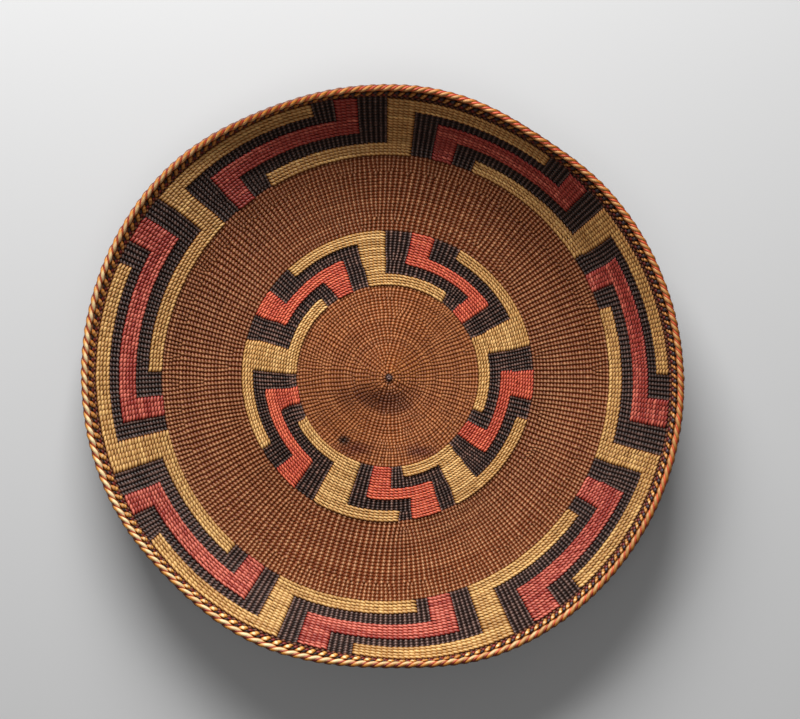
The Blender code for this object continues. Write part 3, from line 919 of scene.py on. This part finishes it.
def figure(name, rows, boxes, finish, slot):
    """One figure of overlay stitches: on each row, the warps that lie between a box's two edges.

    A box is its first row, the row after its last, and its two edges.
    """
    strands = Strands()
    for k, row in enumerate(rows):
        inside = np.zeros(len(row.turns), dtype=bool)
        for row_from, row_to, edge_from, edge_to in boxes:
            if row_from <= k < row_to:
                inside |= past_edge(row, rows, edge_from, 1.0) & past_edge(row, rows, edge_to, -1.0)
        if inside.any():
            stitches(strands, row, np.flatnonzero(inside).astype(float))
    strands.make(name, finish, slot, name)


def hook(arms, stem_from, stem_to, inner_end, outer_end):
    """Boxes of a gold figure: a stem over all the rows, and an arm along its inner and its outer end.

    An arm that ends past the stem runs on from it, and the other one runs back.
    """
    a, b, _, _, e, f = arms
    left, right = (stem_from, a, f), (stem_to, a, f)
    boxes = [(a, f, left, right)]
    for row_from, row_to, turn in ((a, b, inner_end), (e, f, outer_end)):
        end = (turn, row_from, row_to)
        edges = (left, end) if turn > stem_to else (end, right)
        boxes.append((row_from, row_to, *edges))
    return boxes


def step(arms, inner_from, inner_to, outer_from, outer_to):
    """Boxes of a red figure: an inner leg, an outer leg, and a bar across both where they overlap."""
    a, _, c, d, _, f = arms
    inner = ((inner_from, a, d), (inner_to, a, d))
    outer = ((outer_from, c, f), (outer_to, c, f))
    bar = (min(inner[0], outer[0]), max(inner[1], outer[1]))
    return (a, d, *inner), (c, d, *bar), (c, f, *outer)


def figures(inner_band, outer_band):
    """Gold hooks and red steps of both bands."""
    for name, turns, shape, rows, arms, slot in (
        ("inner_gold", INNER_GOLD, hook, inner_band, INNER_ROWS, "gold_grass"),
        ("inner_red", INNER_RED, step, inner_band, INNER_ROWS, "red_grass"),
        ("outer_gold", OUTER_GOLD, hook, outer_band, OUTER_ROWS, "gold_grass"),
        ("outer_red", OUTER_RED, step, outer_band, OUTER_ROWS, "red_grass"),
    ):
        for number, places in enumerate(turns, 1):
            figure(f"{name}_{number}", rows, shape(arms, *places), FINISH[name], slot)


def rim_row(row):
    """The rim row: gold strands over the even warps, and a black and a red one over the odd warps.

    Two strands lie on its outer side and two on its inner side, so that slanted gold grains take
    turns with black ones outside and with dark red ones inside. The inner grains come a little
    before the outer ones, in line with their slant. The gold ones stay longer on top and are wider
    about GOLDER_HEADING, where the others sink between them.
    """
    golder = np.cos(np.radians(row.turn_at(row.along(RIM_SAMPLES)) - GOLDER_HEADING))
    for name, look, phase, swing, belly, wider, offset, bias, golder_bias in RIM_STRANDS:
        strands = Strands()
        twine(
            strands, row, phase, RIM_SAMPLES, RIM_SIDES,
            swing=swing,
            height=RIM_HALF_HEIGHT,
            slant=RIM_SLANT_SHARE * row.pitch,
            lag=RIM_LAG,
            neck=RIM_NECK_SHARE * row.pitch,
            belly=(belly + wider * golder) * row.pitch,
            offset=offset * row.pitch,
            bias=bias + golder_bias * golder,
            blunt=RIM_BLUNT,
            edge=RIM_EDGE,
            # Painted light by heading: lighter about GOLDER_HEADING, darker opposite
            painted_light=RIM_PAINTED_LIGHT_SWING * golder,
        )
        strands.make(name, FINISH[look], "rim", "rim_row_back", "rim_row_front")


def edge_cord(row):
    """The cord round the edge: four round strands, each a helix about the cord's middle line.

    Gold and red strands take turns. The red ones sink in and take painted shade, and the more so about
    GOLDER_HEADING, where the gold ones are thicker and take painted highlights.
    """
    warp = row.along(PLY_SAMPLES)
    turn = row.turn_at(warp)
    golder = np.cos(np.radians(turn - GOLDER_HEADING))
    gold_reach = PLY_OFFSET - GOLD_PLY_WIDER * golder
    red_reach = PLY_OFFSET - RED_PLY_SINK - RED_PLY_SWING * golder
    for name, look, first, thick, reach, painted_light in (
        ("edge_gold_strand", "rim_gold", 0.0, GOLD_PLY_RADIUS + GOLD_PLY_WIDER * golder, gold_reach,
         GOLD_PLY_PAINTED_LIGHT),
        ("edge_red_strand", "edge_red", 0.5 * np.pi, RED_PLY_RADIUS, red_reach, RED_PLY_PAINTED_LIGHT),
    ):
        strands = Strands()
        for phase in (first, first + np.pi):
            twist = phase - 2.0 * np.pi * warp / CORD_WARPS
            offset = reach * (1.0 + hand_variation(row, PLY_SAMPLES, PLY_OFFSET_UNEVEN))
            arc = CORD_ARC + offset * np.cos(twist)
            lift = MID_LIFT + offset * np.sin(twist)
            radius = thick * (1.0 + hand_variation(row, PLY_SAMPLES, PLY_RADIUS_UNEVEN))
            splices = spliced_tones(row, PLY_SAMPLES, ROOT_WARPS) - MEAN_TONE
            strands.add(
                place(arc, turn, lift), up_the_wall(arc, turn), radius, radius, PLY_SIDES, True,
                row.warp_pitch() * warp, PLY_CREST + PLY_CREST_SWING * np.sin(twist), PLY_CREST_SLOPE,
                MEAN_TONE + CORD_SPLICE_SHARE * splices + painted_light * golder,
            )
        strands.make(name, FINISH[look], "edge", "edge_cord")


def start_knot(finish):
    """The knot in the middle: a small core, and a strand tied round it above and below the weave.

    The tied strand is a trefoil: it goes twice round while it rises and falls three times.
    """
    strands = Strands()
    low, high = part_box("start_knot")
    middle = 0.5 * (low.z + high.z)
    rise = 0.5 * (high.z - low.z)
    share = np.linspace(-1.0, 1.0, KNOT_CORE_RINGS)
    line = np.stack([0.0 * share, 0.0 * share, middle + KNOT_CORE_RISE_SHARE * rise * share], axis=-1)
    radius = KNOT_CORE_SHARE * START_RADIUS * np.sqrt(1.0 - (KNOT_CORE_TIP_SHARE * share) ** 2)
    strands.add(
        line + KNOT_PLACE, (1.0, 0.0, 0.0), radius, radius, KNOT_CORE_SIDES, False,
        line[:, 2], KNOT_CORE_CREST, 0.0, MEAN_TONE,
    )
    around = np.linspace(0.0, 2.0 * np.pi, KNOT_SAMPLES, endpoint=False)
    waves = np.sin(3.0 * around)
    reach = START_RADIUS * (KNOT_REACH_SHARE + KNOT_REACH_SWING * np.cos(3.0 * around + KNOT_REACH_PHASE))
    for upward in (-1.0, 1.0):
        height = middle + upward * (rise - KNOT_STRAND_INSET) + KNOT_STRAND_RISE * waves
        line = np.stack([reach * np.sin(2.0 * around), reach * np.cos(2.0 * around), height], axis=-1)
        strands.add(
            line + KNOT_PLACE, (0.0, 0.0, upward), KNOT_STRAND_RADIUS, KNOT_STRAND_RADIUS, KNOT_SIDES, True,
            around * START_RADIUS, KNOT_CREST + KNOT_CREST_SWING * upward * waves, 0.0, MEAN_TONE,
        )
    strands.make("start_knot", finish, "knot", "start_knot")


def linear(colour):
    """A colour given as it looks on a screen, in the light values that the shader takes."""
    channels = np.array(colour)
    light = np.where(channels <= 0.04045, channels / 12.92, ((channels + 0.055) / 1.055) ** 2.4)
    return (*light.tolist(), 1.0)


def new_group(name, inputs, outputs):
    """An empty shader node group with its named sockets, and its two end nodes."""
    group = bpy.data.node_groups.new(name, "ShaderNodeTree")
    for label, kind in inputs:
        group.interface.new_socket(label, in_out="INPUT", socket_type=kind)
    for label, kind in outputs:
        group.interface.new_socket(label, in_out="OUTPUT", socket_type=kind)
    return group, group.nodes.new("NodeGroupInput"), group.nodes.new("NodeGroupOutput")


def shader_node(tree, kind, inputs, **settings):
    """A shader node with its settings. Each of its inputs is a socket to link or a value to set."""
    node = tree.nodes.new("ShaderNode" + kind)
    for label, value in settings.items():
        setattr(node, label, value)
    for label, value in inputs.items():
        if isinstance(value, bpy.types.NodeSocket):
            tree.links.new(value, node.inputs[label])
        else:
            node.inputs[label].default_value = value
    return node


def math_node(tree, operation, *values):
    """The result of a Math node."""
    return shader_node(tree, "Math", dict(enumerate(values)), operation=operation).outputs[0]


def vector_node(tree, operation, *values):
    """The vector that a Vector Math node gives."""
    return shader_node(tree, "VectorMath", dict(enumerate(values)), operation=operation).outputs["Vector"]


def times(tree, colour, factor):
    """A colour times a number."""
    inputs = {0: colour, "Scale": factor}
    return shader_node(tree, "VectorMath", inputs, operation="SCALE").outputs["Vector"]


def mix_colours(tree, blend, factor, first, second):
    """The result of a Mix node for colours."""
    inputs = {0: factor, 6: first, 7: second}
    return shader_node(tree, "Mix", inputs, data_type="RGBA", blend_type=blend).outputs[2]


def ramp_between(tree, value, low, high):
    """0 at low, 1 at high, and an S-curve between."""
    inputs = {"Value": value, "From Min": low, "From Max": high}
    return shader_node(tree, "MapRange", inputs, interpolation_type="SMOOTHSTEP").outputs["Result"]


def noise(tree, vector, scale, detail):
    """The value of a noise texture."""
    inputs = {"Vector": vector, "Scale": scale, "Detail": detail}
    return shader_node(tree, "TexNoise", inputs).outputs["Fac"]


def fibre_group():
    """Fibres along a strand: noise on its own place, stretched along it, coarse and fine."""
    group, given, result = new_group(
        "fibres_of_a_strand", (("Place", "NodeSocketVector"),), (("Streaks", "NodeSocketFloat"),)
    )
    stretched = vector_node(group, "MULTIPLY", given.outputs["Place"], FIBRE_STRETCH)
    total = 0.0
    for scale, share in FIBRE_LAYERS:
        layer = noise(group, stretched, scale, FIBRE_DETAIL)
        total = math_node(group, "MULTIPLY_ADD", layer, share, total)
    group.links.new(total, result.inputs["Streaks"])
    return group


def strand_colour_group():
    """Colour of a strand: dark in the crevices, light on the crests, changed by tone and fibres.

    The crevice colour is painted shade and the crest colour a painted highlight. Where a strand is
    neither pale nor under painted sheen, the hold keeps that share of the crest's colour back.
    """
    colours = ("Crevice Shade", "Body", "Pale And Sheen", "Crest Highlight")
    numbers = ("Height", "Tone", "Tone Swing", "Streaks", "Streak Swing", "Hold")
    sockets = [(label, "NodeSocketColor") for label in colours]
    sockets += [(label, "NodeSocketFloat") for label in numbers]
    group, given, result = new_group("colour_of_a_strand", sockets, (("Colour", "NodeSocketColor"),))
    given = given.outputs
    low = ramp_between(group, given["Height"], CREVICE_HEIGHT, CREST_HEIGHT)
    high = ramp_between(group, given["Height"], CREST_HEIGHT, 1.0)
    pale_and_sheen = ramp_between(group, given["Tone"], *PALE_AND_SHEEN_TONES)
    colour = mix_colours(group, "MIX", pale_and_sheen, given["Body"], given["Pale And Sheen"])
    colour = mix_colours(group, "MIX", low, given["Crevice Shade"], colour)
    held = math_node(group, "MULTIPLY", math_node(group, "SUBTRACT", 1.0, pale_and_sheen), given["Hold"])
    high = math_node(group, "MULTIPLY", high, math_node(group, "SUBTRACT", 1.0, held))
    colour = mix_colours(group, "MIX", high, colour, given["Crest Highlight"])
    for value, swing in (("Tone", "Tone Swing"), ("Streaks", "Streak Swing")):
        centred = math_node(group, "SUBTRACT", given[value], MEAN_TONE)
        colour = times(group, colour, math_node(group, "MULTIPLY_ADD", centred, given[swing], 1.0))
    group.links.new(colour, result.inputs["Colour"])
    return group


def age_and_painted_shade_group():
    """Slow changes of tone, and ellipses with ragged edges: stains, and two of painted shade below the
    knot.
    """
    group, given, result = new_group(
        "marks_of_age_and_painted_shade",
        (("Colour", "NodeSocketColor"), ("Place", "NodeSocketVector"), ("Stain And Shade", "NodeSocketFloat")),
        (("Colour", "NodeSocketColor"),),
    )
    given = given.outputs
    slow = noise(group, given["Place"], SLOW_SCALE, AGE_DETAIL)
    tone = math_node(group, "MULTIPLY_ADD", slow, SLOW_SWING, SLOW_LOWEST)
    colour = times(group, given["Colour"], tone)
    ragged = noise(group, given["Place"], RAGGED_SCALE, AGE_DETAIL)
    for x, y, half_x, half_y, depth, tint in STAINS_AND_PAINTED_SHADE:
        away = vector_node(group, "SUBTRACT", given["Place"], (KNOT_PLACE[0] + x, KNOT_PLACE[1] + y, 0.0))
        away = vector_node(group, "DIVIDE", away, (half_x, half_y, 1.0))
        length = shader_node(group, "VectorMath", {0: away}, operation="LENGTH").outputs["Value"]
        edge = math_node(group, "MULTIPLY_ADD", ragged, RAGGED_SWING, length)
        mask = math_node(group, "MULTIPLY", ramp_between(group, edge, *STAIN_EDGE), depth)
        mask = math_node(group, "MULTIPLY", mask, given["Stain And Shade"])
        colour = mix_colours(group, "MULTIPLY", mask, colour, linear(tint))
    group.links.new(colour, result.inputs["Colour"])
    return group


def strand_finish(name, hold, tone_swing, streak_swing, roughness, stain_and_shade, bump, *colours):
    """A material for strands of root or grass: colours are the crevice's painted shade, the body, the
    pale body, which also carries painted sheen, and the crest's painted highlight.
    """
    made = bpy.data.materials.new(name)
    made.use_nodes = True
    tree = made.node_tree
    crest, tone, fibre = (
        shader_node(tree, "Attribute", {}, attribute_name=label) for label in ("crest", "tone", "fibre")
    )
    fibres = shader_node(tree, "Group", {"Place": fibre.outputs["Vector"]}, node_tree=GROUPS["fibres"])
    streaks = fibres.outputs["Streaks"]
    inputs = dict(zip(("Crevice Shade", "Body", "Pale And Sheen", "Crest Highlight"), map(linear, colours)))
    inputs.update({"Height": crest.outputs["Fac"], "Tone": tone.outputs["Fac"], "Tone Swing": tone_swing})
    inputs.update({"Streaks": streaks, "Streak Swing": streak_swing, "Hold": hold})
    colour = shader_node(tree, "Group", inputs, node_tree=GROUPS["colour"])
    where = shader_node(tree, "TexCoord", {})
    inputs = {"Colour": colour.outputs["Colour"], "Place": where.outputs["Object"], "Stain And Shade": stain_and_shade}
    aged = shader_node(tree, "Group", inputs, node_tree=GROUPS["age"])
    inputs = {"Value": streaks, "To Min": roughness + DULLER_BY, "To Max": roughness - GLOSSIER_BY}
    gloss = shader_node(tree, "MapRange", inputs)
    relief = shader_node(tree, "Bump", {"Strength": bump, "Distance": BUMP_DISTANCE, "Height": streaks})
    shader = tree.nodes["Principled BSDF"]
    tree.links.new(aged.outputs["Colour"], shader.inputs["Base Color"])
    tree.links.new(gloss.outputs["Result"], shader.inputs["Roughness"])
    tree.links.new(relief.outputs["Normal"], shader.inputs["Normal"])
    shader.inputs["Specular IOR Level"].default_value = SPECULAR_LEVEL
    return made


def floor():
    """A plain pale floor under the tray, which isn't part of it."""
    across = np.linspace(-FLOOR_REACH, FLOOR_REACH, FLOOR_LINES)
    x, y = np.meshgrid(across, across, indexing="ij")
    points = np.stack([x, y, 0.0 * x - FLOOR_DROP], axis=-1).reshape(-1, 3)
    index = np.arange(len(points)).reshape(x.shape)
    faces = np.stack([index[:-1, :-1], index[1:, :-1], index[1:, 1:], index[:-1, 1:]], axis=-1)
    mesh = bpy.data.meshes.new("floor")
    mesh.from_pydata(points.tolist(), [], faces.reshape(-1, 4).tolist())
    made = bpy.data.materials.new("pale_floor")
    made.use_nodes = True
    shader = made.node_tree.nodes["Principled BSDF"]
    shader.inputs["Base Color"].default_value = linear(FLOOR_COLOUR)
    shader.inputs["Roughness"].default_value = FLOOR_ROUGHNESS
    mesh.materials.append(made)
    piece = bpy.data.objects.new("floor", mesh)
    bpy.context.scene.collection.objects.link(piece)


def soft_lamp(name, heading, height, level):
    """A large soft lamp that faces the origin from a heading, clockwise from +Y, and a height."""
    lamp = bpy.data.lights.new(name, "AREA")
    lamp.shape = "RECTANGLE"
    lamp.size, lamp.size_y = LAMP_SIZE
    lamp.energy = level * np.pi**2 * LAMP_DISTANCE**2
    made = bpy.data.objects.new(name, lamp)
    turn = np.radians(heading)
    rise = np.radians(height)
    reach = LAMP_DISTANCE * np.cos(rise)
    made.location = (reach * np.sin(turn), reach * np.cos(turn), LAMP_DISTANCE * np.sin(rise))
    made.rotation_euler = (rise - 0.5 * np.pi, 0.0, -turn)
    bpy.context.scene.collection.objects.link(made)


def lights():
    """A key lamp beyond the top of the picture, a weak one overhead, and an even light from all round."""
    soft_lamp("key_lamp", *KEY_LAMP)
    soft_lamp("overhead_lamp", *OVERHEAD_LAMP)
    world = bpy.data.worlds.new("studio")
    world.use_nodes = True
    bpy.context.scene.world = world
    tree = world.node_tree
    backdrop = tree.nodes["Background"]
    backdrop.inputs["Color"].default_value = (1.0, 1.0, 1.0, 1.0)
    seen = shader_node(tree, "LightPath", {}).outputs["Is Camera Ray"]
    inputs = {"Value": seen, "To Min": FILL_LIGHT, "To Max": BACKDROP_LIGHT}
    strength = shader_node(tree, "MapRange", inputs)
    tree.links.new(strength.outputs["Result"], backdrop.inputs["Strength"])


def camera():
    """The photograph's view: straight down on the tray, +Y at the top, from CAMERA_HEIGHT."""
    lens = bpy.data.cameras.new("camera")
    lens.sensor_width = SENSOR_WIDTH
    lens.lens = SENSOR_WIDTH * CAMERA_HEIGHT / VIEW_WIDTH
    lens.clip_start = NEAR_CLIP
    made = bpy.data.objects.new("camera", lens)
    made.location = (*VIEW_MIDDLE, CAMERA_HEIGHT)
    bpy.context.scene.collection.objects.link(made)
    bpy.context.scene.camera = made


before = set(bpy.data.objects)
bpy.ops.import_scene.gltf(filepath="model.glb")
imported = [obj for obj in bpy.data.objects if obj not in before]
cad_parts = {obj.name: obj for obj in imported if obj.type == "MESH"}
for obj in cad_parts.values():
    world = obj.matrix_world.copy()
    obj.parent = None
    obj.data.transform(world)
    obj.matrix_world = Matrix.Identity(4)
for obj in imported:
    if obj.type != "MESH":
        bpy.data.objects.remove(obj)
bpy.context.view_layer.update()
knot_low, knot_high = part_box("start_knot")
KNOT_PLACE = np.array([0.5 * (knot_low.x + knot_high.x), 0.5 * (knot_low.y + knot_high.y), 0.0])
GROUPS = {"fibres": fibre_group(), "colour": strand_colour_group(), "age": age_and_painted_shade_group()}
FINISH = {key: strand_finish(*look) for key, look in FINISHES.items()}

centre = rows_of(START_RADIUS, CENTRE_RUN, CENTRE_ROWS)
inner_band = rows_of(CENTRE_END, INNER_BAND_RUN, BAND_ROWS)
middle = rows_of(INNER_END, MIDDLE_RUN, MIDDLE_ROWS)
outer_band = rows_of(MIDDLE_END, OUTER_BAND_RUN, BAND_ROWS)
border = rows_of(OUTER_END, BORDER_ROW_RUN, 1)
rim = rows_of(BORDER_END, RIM_ROW_RUN, 1)
all_rows = centre + inner_band + middle + outer_band + border + rim
set_out_warps(all_rows)

start_knot(FINISH["knot"])
warps(all_rows, FINISH["warp"])
weave_ring("centre_weave", centre, 1, FINISH["centre_brown"], "brown_weft")
weave_ring("inner_band", inner_band, 2, FINISH["inner_dark"], "dark_weft")
weave_ring("middle_weave", middle, 3, FINISH["brown"], "brown_weft")
weave_ring("outer_band", outer_band, 3, FINISH["outer_dark"], "dark_weft")
weave_ring("border_row", border, 1, FINISH["border"], "border")
figures(inner_band, outer_band)
rim_row(rim[0])
edge_cord(rim[0])

floor()
lights()
camera()
bpy.context.scene.view_settings.view_transform = "Standard"
